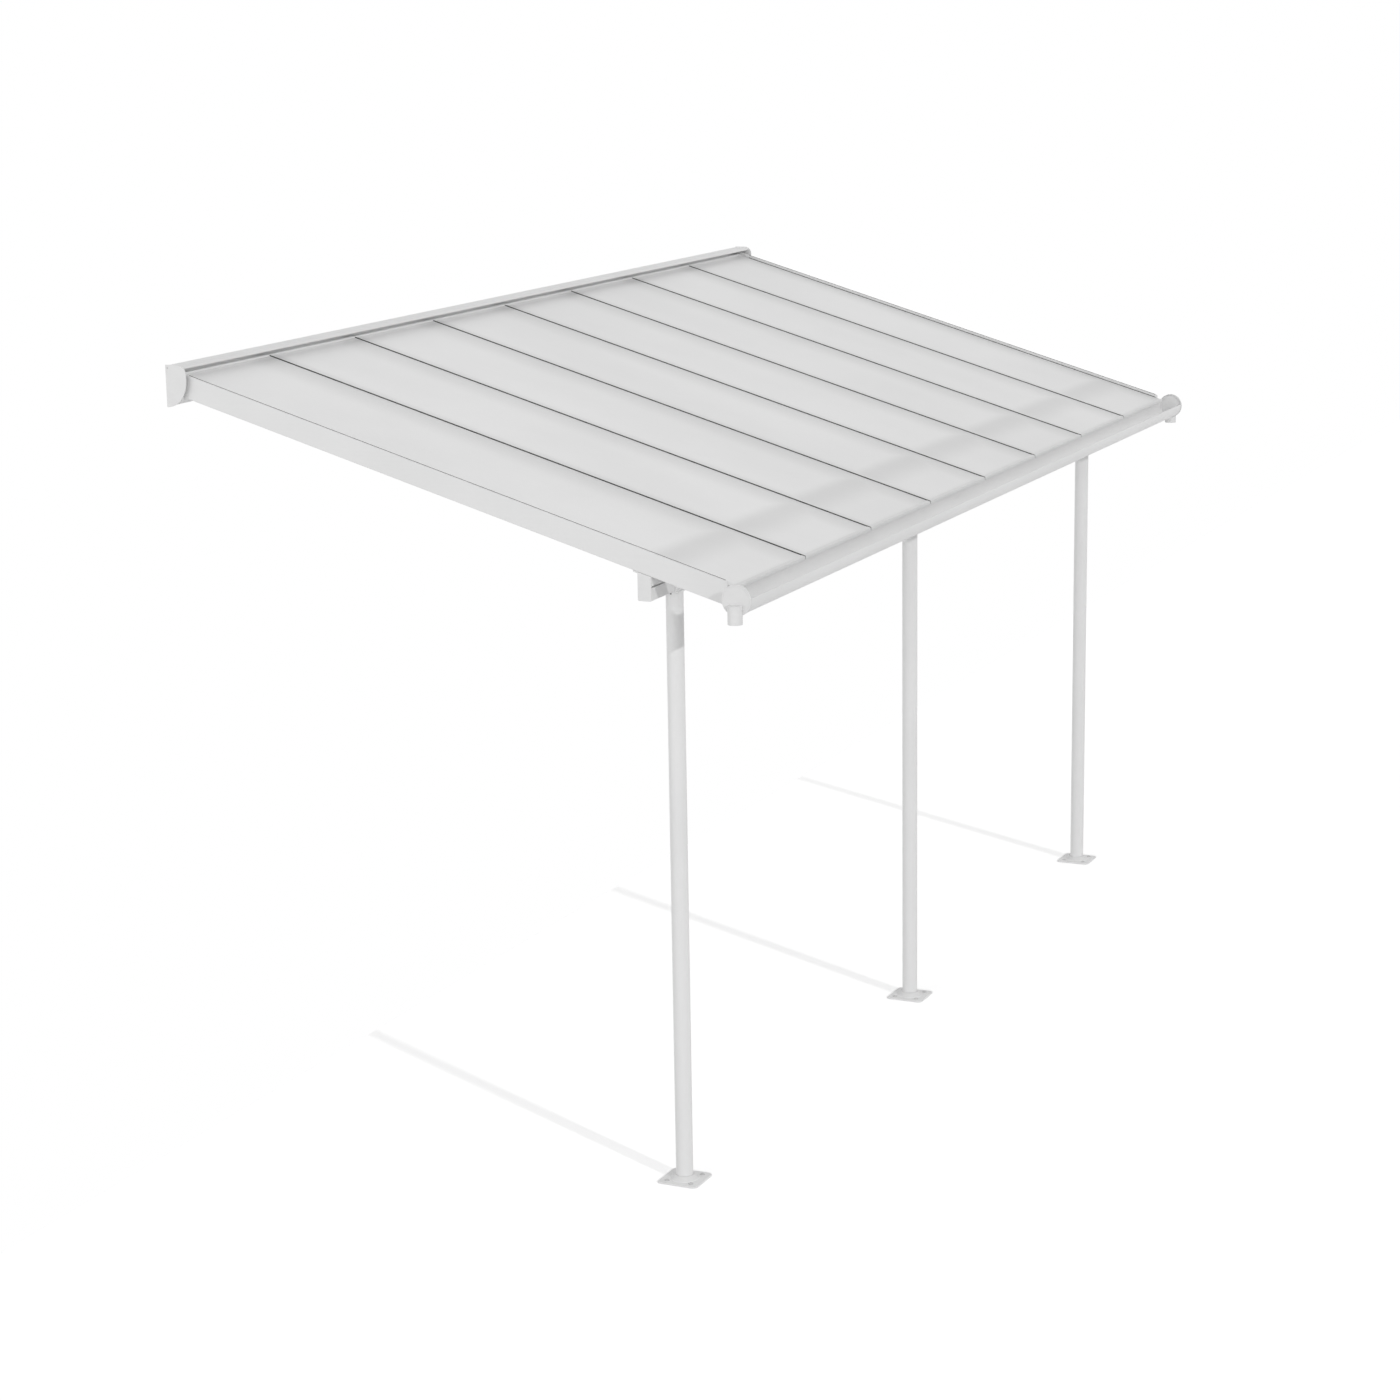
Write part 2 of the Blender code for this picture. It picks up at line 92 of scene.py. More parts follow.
class Sock:
    """An output socket of a node, with Python's operators standing for Math nodes."""

    def __init__(self, graph: "Graph", socket: bpy.types.NodeSocket) -> None:
        """Keep the graph and the socket."""
        self.graph = graph
        self.socket = socket

    def math(self, operation: str, *values: Value) -> "Sock":
        """Add a Math node of that operation on these values, and take its result."""
        return self.graph.out("ShaderNodeMath", {"operation": operation}, dict(enumerate(values)))

    def __add__(self, other: Value) -> "Sock":
        """Self plus other."""
        return self.math("ADD", self, other)

    __radd__ = __add__

    def __sub__(self, other: Value) -> "Sock":
        """Self minus other."""
        return self.math("SUBTRACT", self, other)

    def __rsub__(self, other: Value) -> "Sock":
        """Other minus self."""
        return self.math("SUBTRACT", other, self)

    def __mul__(self, other: Value) -> "Sock":
        """Self times other."""
        return self.math("MULTIPLY", self, other)

    __rmul__ = __mul__

    def __truediv__(self, other: Value) -> "Sock":
        """Self over other."""
        return self.math("DIVIDE", self, other)

    def __rtruediv__(self, other: Value) -> "Sock":
        """Other over self."""
        return self.math("DIVIDE", other, self)

    def maximum(self, other: Value) -> "Sock":
        """The larger of self and other."""
        return self.math("MAXIMUM", self, other)

    def minimum(self, other: Value) -> "Sock":
        """The smaller of self and other."""
        return self.math("MINIMUM", self, other)

    def ramp(self, low: float, high: float, start: float = 0.0, end: float = 1.0) -> "Sock":
        """Smooth step from start, held at and below low, to end, held at and above high."""
        settings = {"interpolation_type": "SMOOTHSTEP"}
        return self.graph.out("ShaderNodeMapRange", settings, {0: self, 1: low, 2: high, 3: start, 4: end})


class Graph:
    """The node tree of one material or of the surroundings."""

    def __init__(self, owner: Union[bpy.types.Material, bpy.types.World]) -> None:
        """Start with an empty tree.

        Args:
            owner: the material or world that the tree belongs to.
        """
        owner.use_nodes = True
        self.owner = owner
        self.tree = owner.node_tree
        self.tree.nodes.clear()

    def node(self, kind: str, settings: dict[str, object] | None = None,
             inputs: dict[Key, object] | None = None) -> bpy.types.Node:
        """Add a node.

        Args:
            kind: the node's type.
            settings: its properties, which are set first.
            inputs: values or links of its sockets, by name or by number.

        Returns:
            The node.
        """
        made = self.tree.nodes.new(kind)
        for key, value in (settings or {}).items():
            setattr(made, key, value)
        for key, value in (inputs or {}).items():
            if isinstance(value, Sock):
                self.tree.links.new(value.socket, made.inputs[key])
            else:
                made.inputs[key].default_value = value
        return made

    def out(self, kind: str, settings: dict[str, object] | None = None,
            inputs: dict[Key, object] | None = None, output: Key = 0) -> Sock:
        """Add a node and take one of its outputs, the first one if none is named."""
        return Sock(self, self.node(kind, settings, inputs).outputs[output])

    def place(self) -> Sock:
        """Object coordinates, which are the part's own metres."""
        return self.out("ShaderNodeTexCoord", output="Object")

    def axes(self) -> tuple[Sock, Sock, Sock]:
        """Object coordinates as three numbers."""
        split = self.node("ShaderNodeSeparateXYZ", inputs={0: self.place()})
        return tuple(Sock(self, split.outputs[k]) for k in range(3))

    def noise(self, scale: float, detail: float, stretch: Triple = (1.0, 1.0, 1.0)) -> Sock:
        """Add noise on the part's own coordinates.

        Args:
            scale: how many patches to a metre.
            detail: octaves.
            stretch: scale along each axis, for streaks.

        Returns:
            The noise, from 0 to 1.
        """
        mapped = {"Vector": self.place(), "Scale": stretch}
        spot = self.out("ShaderNodeMapping", {"vector_type": "POINT"}, mapped)
        wanted = {"Vector": spot, "Scale": scale, "Detail": detail, "Roughness": 0.5}
        return self.out("ShaderNodeTexNoise", {"noise_dimensions": "3D"}, wanted)

    def tint(self, factor: Value, low: Colour, high: Colour) -> Sock:
        """Mix two colours, low at factor 0 and high at factor 1."""
        wanted = {0: factor, 6: (*low, 1.0), 7: (*high, 1.0)}
        return self.out("ShaderNodeMix", {"data_type": "RGBA"}, wanted, 2)

    def scaled(self, colour: Sock, amount: Value) -> Sock:
        """Colour times a number."""
        return self.out("ShaderNodeVectorMath", {"operation": "SCALE"}, {0: colour, 3: amount})

    def bump(self, height: Sock, distance: float, strength: float, under: Sock | None = None) -> Sock:
        """Bend the normal by a height map.

        Args:
            height: the map, from 0 to 1.
            distance: metres from 0 to 1.
            strength: how much of it shows.
            under: a normal that this one is laid on.

        Returns:
            The bent normal.
        """
        wanted: dict[Key, object] = {"Height": height, "Distance": distance, "Strength": strength}
        if under:
            wanted["Normal"] = under
        return self.out("ShaderNodeBump", inputs=wanted)

    def shown_white(self) -> Sock:
        """Tell the rays that see the white studio from those that light the object.

        Returns:
            1 for camera, glossy and transmission rays, else 0.
        """
        path = self.node("ShaderNodeLightPath")
        names = ("Is Camera Ray", "Is Glossy Ray", "Is Transmission Ray")
        camera, glossy, passing = (Sock(self, path.outputs[name]) for name in names)
        return camera.maximum(glossy).maximum(passing)

    def mixed(self, factor: Sock, first: Sock, second: Sock) -> Sock:
        """Mix two shaders, first at factor 0 and second at factor 1."""
        return self.out("ShaderNodeMixShader", inputs={0: factor, 1: first, 2: second})

    def finished(self, shader: Sock) -> bpy.types.Material:
        """Join a shader to the material's output, and return the material."""
        self.node("ShaderNodeOutputMaterial", inputs={"Surface": shader})
        return self.owner

    def surface(self, inputs: dict[Key, object]) -> bpy.types.Material:
        """Give the material one Principled shader with these inputs, and return the material."""
        return self.finished(self.out("ShaderNodeBsdfPrincipled", inputs=inputs))


class Grain(Enum):
    """Which way a metal section was drawn, so which way its faint die lines run."""

    ALONG_WALL = (0.5, 60.0, 60.0)
    DOWN_ROOF = (60.0, 0.5, 60.0)
    UPRIGHT = (60.0, 60.0, 0.5)
    NONE = (12.0, 12.0, 12.0)


@dataclass(frozen=True)
class PaintedShading:
    """Painted light and shade along one axis of the part: a smooth factor on the base colour, which lightens
    a place that lies in shade or darkens one that catches light.
    """

    axis: int
    low: float
    high: float
    start: float
    end: float

    def over(self, graph: Graph) -> Sock:
        """The shade's factor, which is start up to low and end from high."""
        return graph.axes()[self.axis].ramp(self.low, self.high, self.start, self.end)


@dataclass(frozen=True)
class PowderCoat:
    """White satin powder coat on aluminium, with a fine orange peel and faint die lines."""

    name: str
    grain: Grain
    colour: Colour = (0.80, 0.80, 0.80)
    roughness: float = 0.42
    specular: float = 0.45
    patch_scale: float = 3.0
    patch_edge: Span = (0.3, 0.7)
    patch_dulling: float = 0.988
    patch_roughness: float = 0.10
    line_scale: float = 4.0
    line_depth: float = 0.00003
    line_strength: float = 0.5
    peel_scale: float = 900.0
    peel_depth: float = 0.00012
    peel_strength: float = 0.35
    peel_roughness: float = 0.04
    soil: float = 0.03
    patch_soil: float = 0.6
    patch_soil_edge: Span = (0.35, 0.75)
    line_soil: float = 0.4
    line_soil_edge: Span = (0.3, 0.8)
    # Painted light and shade along one axis, if any.
    painted_shading: PaintedShading | None = None

    def build(self) -> bpy.types.Material:
        """Make the finish.

        Returns:
            Its material.
        """
        graph = Graph(bpy.data.materials.new(self.name))
        patches = graph.noise(self.patch_scale, detail=4.0)
        lines = graph.noise(self.line_scale, detail=2.0, stretch=self.grain.value)
        peel = graph.noise(self.peel_scale, detail=1.0)
        patch_soil = patches.ramp(*self.patch_soil_edge) * self.patch_soil
        shade = 1.0 - self.soil * (patch_soil + lines.ramp(*self.line_soil_edge) * self.line_soil)
        # Painted light and shade along one axis multiplies the base colour.
        if self.painted_shading:
            shade = shade * self.painted_shading.over(graph)
        dull = dulled(self.colour, self.patch_dulling)
        orange_peel = graph.bump(peel, self.peel_depth, self.peel_strength)
        return graph.surface({
            "Base Color": graph.scaled(graph.tint(patches.ramp(*self.patch_edge), self.colour, dull), shade),
            "Roughness": self.roughness + patches * self.patch_roughness - peel * self.peel_roughness,
            "Specular IOR Level": self.specular,
            "Normal": graph.bump(lines, self.line_depth, self.line_strength, orange_peel),
        })


@dataclass(frozen=True)
class MouldedPlastic:
    """White moulded plastic: spark-eroded grain, slight flow marks, a little dust."""

    name: str = "moulded_plastic_white"
    colour: Colour = (0.80, 0.80, 0.80)
    roughness: float = 0.5
    grain_scale: float = 1500.0
    grain_depth: float = 0.0001
    grain_strength: float = 0.4
    grain_roughness: float = 0.08
    specular: float = 0.42
    flow_scale: float = 14.0
    flow_stretch: Triple = (1.0, 1.0, 2.5)
    flow_edge: Span = (0.3, 0.75)
    flow_dulling: float = 0.965
    flow_depth: float = 0.0004
    flow_strength: float = 0.3
    flow_roughness: float = 0.06

    def build(self) -> bpy.types.Material:
        """Make the finish.

        Returns:
            Its material.
        """
        graph = Graph(bpy.data.materials.new(self.name))
        grain = graph.noise(self.grain_scale, detail=2.0)
        flow = graph.noise(self.flow_scale, detail=3.0, stretch=self.flow_stretch)
        dusty = dulled(self.colour, self.flow_dulling)
        eroded = graph.bump(grain, self.grain_depth, self.grain_strength)
        return graph.surface({
            "Base Color": graph.tint(flow.ramp(*self.flow_edge), self.colour, dusty),
            "Roughness": self.roughness + grain * self.grain_roughness + flow * self.flow_roughness,
            "Specular IOR Level": self.specular,
            "Normal": graph.bump(flow, self.flow_depth, self.flow_strength, eroded),
        })


@dataclass(frozen=True)
class SealRubber:
    """Dark weatherproof rubber with a dull bloom and dust in its grain."""

    name: str = "seal_rubber_dark"
    colour: Colour = (0.038, 0.038, 0.038)
    dust: Colour = (0.085, 0.085, 0.084)
    roughness: float = 0.62
    specular: float = 0.35
    bloom_scale: float = 60.0
    bloom_edge: Span = (0.4, 0.75)
    bloom_depth: float = 0.0002
    bloom_strength: float = 0.3
    bloom_roughness: float = 0.15
    grain_scale: float = 2400.0
    grain_depth: float = 0.00008
    grain_strength: float = 0.5

    def build(self) -> bpy.types.Material:
        """Make the finish.

        Returns:
            Its material.
        """
        graph = Graph(bpy.data.materials.new(self.name))
        bloom = graph.noise(self.bloom_scale, detail=4.0)
        grain = graph.noise(self.grain_scale, detail=1.0)
        clouded = graph.bump(bloom, self.bloom_depth, self.bloom_strength)
        return graph.surface({
            "Base Color": graph.tint(bloom.ramp(*self.bloom_edge), self.colour, self.dust),
            "Roughness": self.roughness + bloom * self.bloom_roughness,
            "Specular IOR Level": self.specular,
            "Normal": graph.bump(grain, self.grain_depth, self.grain_strength, clouded),
        })


@dataclass(frozen=True)
class ScrewSteel:
    """Zinc-plated or blackened screw steel, turned and a little tarnished."""

    name: str
    colour: Colour
    metallic: float
    roughness: float = 0.38
    stain_scale: float = 420.0
    stain_edge: Span = (0.35, 0.8)
    stain_dulling: float = 0.6
    stain_roughness: float = 0.2
    scratch_scale: float = 900.0
    scratch_stretch: Triple = (1.0, 6.0, 1.0)
    scratch_depth: float = 0.00005
    scratch_strength: float = 0.5

    def build(self) -> bpy.types.Material:
        """Make the finish.

        Returns:
            Its material.
        """
        graph = Graph(bpy.data.materials.new(self.name))
        stain = graph.noise(self.stain_scale, detail=4.0)
        scratch = graph.noise(self.scratch_scale, detail=2.0, stretch=self.scratch_stretch)
        tarnish = dulled(self.colour, self.stain_dulling)
        return graph.surface({
            "Base Color": graph.tint(stain.ramp(*self.stain_edge), self.colour, tarnish),
            "Roughness": self.roughness + stain * self.stain_roughness,
            "Metallic": self.metallic,
            "Normal": graph.bump(scratch, self.scratch_depth, self.scratch_strength),
        })


@dataclass(frozen=True)
class OpalSheet:
    """Opal multiwall sheet, milky and faintly ribbed, with painted shade in soft dark bands over what lies
    close below it, a painted glow under the hood and painted light towards the near end.
    """

    name: str = "opal_multiwall_sheet"
    colour: Colour = (0.858, 0.858, 0.858)
    clear: Colour = (0.985, 0.985, 0.985)
    roughness: float = 0.32
    specular: float = 0.5
    rib_pitch: float = 0.0105
    rib_contrast: float = 0.012
    rib_depth: float = 0.00008
    rib_strength: float = 0.5
    haze: float = 0.025
    haze_scale: float = 1.6
    haze_edge: Span = (0.3, 0.7)
    haze_dulling: float = 0.99
    haze_depth: float = 0.003
    haze_strength: float = 0.15
    haze_roughness: float = 0.12
    streak_scale: float = 5.0
    streak_stretch: Triple = (9.0, 0.6, 9.0)
    streak_roughness: float = 0.05
    # Painted shade: soft dark bands over the rafters, the cross beam and the gutter's edge.
    rafter_painted_shade: float = 0.165
    rafter_soft_reach: float = 0.19
    rafter_sharp_reach: float = 0.065
    beam_painted_shade: float = 0.145
    beam_painted_shade_tail: float = 0.015
    beam_sharp_edge: Span = (-1.765, -1.70)
    beam_soft_edge: Span = (-1.895, -1.775)
    gutter_painted_shade: float = 0.11
    gutter_edge: Span = (-2.030, -1.985)
    # Painted glow: emission that lightens the sheets' shaded strip under the hood.
    hood_painted_glow: float = 0.085
    painted_glow_edge: Span = (-0.062, -0.042)
    # Painted light: the sheets up to 5 per cent lighter towards the near end.
    near_painted_light: float = 0.05
    near_painted_light_edge: Span = (-2.3, 0.8)

    def bands(self, x: Sock, y: Sock) -> Sock:
        """Work out the painted shade over the rafters, the cross beam and the gutter's edge.

        Args:
            x: place along the wall.
            y: place from the wall.

        Returns:
            The share of the base colour that the painted shade takes away.
        """
        past_seam = x.math("WRAP", x, BAY, 0.0)
        # Painted shade beside each seam, over the rafter below, softer and wider on one side, as the low sun
        # throws it.
        soft = (BAY - past_seam).ramp(0.0, self.rafter_soft_reach, self.rafter_painted_shade, 0.0)
        sharp = past_seam.ramp(0.0, self.rafter_sharp_reach, self.rafter_painted_shade, 0.0)
        # Painted shade over the cross beam, sharp on the wall side and soft towards the gutter.
        beam_shade_wall_side = y.ramp(*self.beam_sharp_edge, self.beam_painted_shade, 0.0)
        beam_shade_gutter_side = y.ramp(*self.beam_soft_edge, self.beam_painted_shade_tail, self.beam_painted_shade)
        # Painted shade over the gutter's edge at the sheets' foot.
        gutter = y.ramp(*self.gutter_edge, self.gutter_painted_shade, 0.0)
        return soft.maximum(sharp).maximum(beam_shade_wall_side.minimum(beam_shade_gutter_side)).maximum(gutter)

    def build(self) -> bpy.types.Material:
        """Make the finish, with painted shade, painted light and a painted glow, which lets almost all the
        sun pass to shadow rays.

        Returns:
            Its material.
        """
        graph = Graph(bpy.data.materials.new(self.name))
        x, y, _ = graph.axes()
        ribs = x.math("PINGPONG", x / self.rib_pitch, 0.5)
        haze = graph.noise(self.haze_scale, detail=3.0)
        streak = graph.noise(self.streak_scale, detail=3.0, stretch=self.streak_stretch)
        clouds = haze.ramp(*self.haze_edge)
        # The painted shade bands and the rib pattern darken the base colour.
        shade = (1.0 - self.bands(x, y)) * (1.0 - self.rib_contrast * ribs)
        shade = shade * (1.0 - self.haze * clouds) * (1.0 - self.rib_contrast * streak)
        # Painted light: lighter towards the near end.
        shade = shade * x.ramp(*self.near_painted_light_edge, 1.0 + self.near_painted_light, 1.0)
        milk = graph.tint(clouds, self.colour, dulled(self.colour, self.haze_dulling))
        uneven = graph.bump(haze, self.haze_depth, self.haze_strength)
        opal = graph.out("ShaderNodeBsdfPrincipled", inputs={
            "Base Color": graph.scaled(milk, shade),
            "Roughness": self.roughness + haze * self.haze_roughness + streak * self.streak_roughness,
            "Specular IOR Level": self.specular,
            # Painted glow under the hood, given as emission.
            "Emission Color": graph.scaled(milk, y.ramp(*self.painted_glow_edge, 0.0, self.hood_painted_glow)),
            "Emission Strength": 1.0,
            "Normal": graph.bump(ribs, self.rib_depth, self.rib_strength, uneven),
        })
        passed = graph.out("ShaderNodeBsdfTransparent", inputs={"Color": (*self.clear, 1.0)})
        shadow_ray = graph.out("ShaderNodeLightPath", output="Is Shadow Ray")
        return graph.finished(graph.mixed(shadow_ray, opal, passed))


class Shape:
    """A bmesh that becomes one finished piece of the cover."""

    def __init__(self, name: str) -> None:
        """Start an empty mesh for a piece of that name."""
        self.name = name
        self.mesh = bmesh.new()

    def add(self, other: bmesh.types.BMesh, place: Matrix | None = None) -> None:
        """Join another bmesh and free it.

        Args:
            other: the bmesh.
            place: a matrix that moves it first.
        """
        if place is not None:
            bmesh.ops.transform(other, matrix=place, verts=other.verts)
        passed = bpy.data.meshes.new("passed")
        other.to_mesh(passed)
        other.free()
        self.mesh.from_mesh(passed)
        bpy.data.meshes.remove(passed)

    def finish(self, material: bpy.types.Material, smooth: float = 35.0,
               stands_for: str | None = None, slot: str | None = None) -> None:
        """Make the object, which rides on the cover's one body.

        Args:
            material: its finish.
            smooth: edges sharper than this many degrees stay sharp.
            stands_for: the CAD node that it replaces.
            slot: the record's material slot, if it has one; not used.
        """
        data = bpy.data.meshes.new(self.name)
        bmesh.ops.recalc_face_normals(self.mesh, faces=self.mesh.faces)
        self.mesh.to_mesh(data)
        self.mesh.free()
        data.materials.append(material)
        data.polygons.foreach_set("use_smooth", [True] * len(data.polygons))
        data.set_sharp_from_angle(angle=math.radians(smooth))
        made = bpy.data.objects.new(self.name, data)
        bpy.context.scene.collection.objects.link(made)
        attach(made, BODY)
        if stands_for:
            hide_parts(stands_for)
        log.info("%s: %d faces", self.name, len(data.polygons))


def new_verts(extruded: dict[str, list[object]]) -> list[bmesh.types.BMVert]:
    """The vertices that an extrusion made."""
    return [item for item in extruded["geom"] if isinstance(item, bmesh.types.BMVert)]


def draw_out(body: bmesh.types.BMesh, faces: Iterable[bmesh.types.BMFace], run: Vector) -> None:
    """Draw the faces at one end of a body out along a run, into a closed solid."""
    extruded = bmesh.ops.extrude_face_region(body, geom=list(faces), use_keep_orig=True)
    bmesh.ops.translate(body, vec=run, verts=new_verts(extruded))


def upright(section: Iterable[Span], start: Vector) -> list[Vector]:
    """Stand a section of x and z in the plane across the roof, with its zero at start."""
    return [start + Vector((x, 0.0, z)) for x, z in section]


def bar(outline: Iterable[Vector], run: Vector) -> bmesh.types.BMesh:
    """Make a straight bar of one section.

    Args:
        outline: the corners of one end, in order.
        run: from that end to the other.

    Returns:
        The bar as a closed bmesh.
    """
    body = bmesh.new()
    corners = [body.verts.new(corner) for corner in outline]
    draw_out(body, bmesh.ops.contextual_create(body, geom=corners)["faces"], run)
    bmesh.ops.recalc_face_normals(body, faces=body.faces)
    return body


def turned(profile: Sequence[Span], sides: int, ring: bool) -> bmesh.types.BMesh:
    """Turn a profile round the Z axis.

    Args:
        profile: its points as radius and height.
        sides: how many sides a full turn has.
        ring: True where the last point joins the first.

    Returns:
        The turned body, merged and facing outwards.
    """
    body = bmesh.new()
    points = [body.verts.new((radius, 0.0, height)) for radius, height in profile]
    following = points[1:] + (points[:1] if ring else [])
    edges = [body.edges.new(pair) for pair in zip(points, following)]
    bmesh.ops.spin(body, geom=points + edges, cent=(0, 0, 0), axis=(0, 0, 1), angle=math.tau,
                   steps=sides, use_merge=True)
    bmesh.ops.remove_doubles(body, verts=body.verts, dist=MERGE_DISTANCE)
    bmesh.ops.recalc_face_normals(body, faces=body.faces)
    return body


def soften(body: bmesh.types.BMesh, offset: float, segments: int = 2, angle: float = 40.0) -> None:
    """Round the sharp edges of a body.

    Args:
        body: the bmesh.
        offset: how far the rounding reaches from the edge.
        segments: faces across the rounding.
        angle: edges sharper than this many degrees are rounded.
    """
    least = math.radians(angle)
    sharp = [edge for edge in body.edges if edge.is_manifold and edge.calc_face_angle(0.0) > least]
    bmesh.ops.bevel(body, geom=sharp, offset=offset, offset_type="OFFSET", segments=segments, profile=0.5,
                    affect="EDGES", clamp_overlap=True, material=-1)


@dataclass
class RoofSheets:
    """Eight multiwall sheets that stand for the solid ones, and strips that close their cells."""

    finish: OpalSheet = OpalSheet()
    strip_finish: MouldedPlastic = MouldedPlastic("moulded_plastic_end_strips", (0.78, 0.78, 0.78))
    skin: float = 0.0007
    rib: float = 0.0005
    pitch: float = 0.0105
    smooth: float = 30.0
    strip_skin: float = 0.0007
    strip_rounding: float = 0.00021
    strip_reach: float = 0.012
    strip_gap: float = 0.0002

    def section(self, width: float) -> bmesh.types.BMesh:
        """Make the cross-section of one sheet, centred on x 0, upper skin at z 0, with its cells open.

        Args:
            width: the sheet's width.

        Returns:
            A flat bmesh in the xz plane.
        """
        cells = round(width / self.pitch)
        pitch = (width - self.rib) / cells
        columns, rows = 2 * cells + 1, 3
        depths = (SHEET_THICKNESS, SHEET_THICKNESS - self.skin, self.skin, 0.0)
        flat = bmesh.new()
        bmesh.ops.create_grid(flat, x_segments=columns, y_segments=rows, size=0.5)
        cell_faces = []
        for face in flat.faces:
            middle = face.calc_center_median()
            column, row = int((middle.x + 0.5) * columns), int((middle.y + 0.5) * rows)
            if row == 1 and column % 2 == 1:
                cell_faces.append(face)
        for vert in flat.verts:
            column, row = round((vert.co.x + 0.5) * columns), round((vert.co.y + 0.5) * rows)
            across = (column // 2) * pitch + (self.rib if column % 2 else 0.0)
            vert.co = Vector((across - width / 2, 0.0, -depths[row] / math.cos(ROOF_PITCH)))
        bmesh.ops.delete(flat, geom=cell_faces, context="FACES")
        return flat

    def sheet(self, number: int, material: bpy.types.Material) -> None:
        """Make one sheet in the place of its solid.

        Args:
            number: the sheet's number, from 1.
            material: its finish.
        """
        node = f"roof_sheet_{number}"
        low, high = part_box(node)
        body = self.section(high.x - low.x)
        draw_out(body, body.faces, down_roof(high.y, low.y))
        shape = Shape(f"opal_sheet_{number}")
        shape.add(body, Matrix.Translation(((low.x + high.x) / 2, high.y, roof_z(high.y))))
        shape.finish(material, self.smooth, node, "sheet_opal")

    def strip(self, number: int, material: bpy.types.Material) -> None:
        """Make the channel that closes one sheet's cells at the foot.

        Args:
            number: the sheet's number, from 1.
            material: its finish.
        """
        low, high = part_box(f"roof_sheet_{number}")
        gap, back = self.strip_gap, self.strip_reach
        drop = SHEET_THICKNESS / math.cos(ROOF_PITCH)
        rise = math.tan(ROOF_PITCH) * back
        path = ((back, rise + gap), (-gap, gap), (-gap, -drop - gap), (back, rise - drop - gap))
        body = bmesh.new()
        corners = [body.verts.new((low.x, low.y + y, roof_z(low.y) + z)) for y, z in path]
        edges = [body.edges.new(pair) for pair in zip(corners, corners[1:])]
        far = new_verts(bmesh.ops.extrude_edge_only(body, edges=edges))
        bmesh.ops.translate(body, vec=(high.x - low.x, 0.0, 0.0), verts=far)
        bmesh.ops.recalc_face_normals(body, faces=body.faces)
        front = max(body.faces, key=lambda face: abs(face.normal.y))
        if front.normal.y > 0:
            bmesh.ops.reverse_faces(body, faces=body.faces)
        bmesh.ops.solidify(body, geom=body.faces[:], thickness=-self.strip_skin)
        soften(body, self.strip_rounding, 1)
        shape = Shape(f"sheet_end_strip_{number}")
        shape.add(body)
        shape.finish(material)

    def build(self) -> None:
        """Make the eight sheets and their end strips."""
        opal, white = self.finish.build(), self.strip_finish.build()
        for number in range(1, SHEET_COUNT + 1):
            self.sheet(number, opal)
            self.strip(number, white)


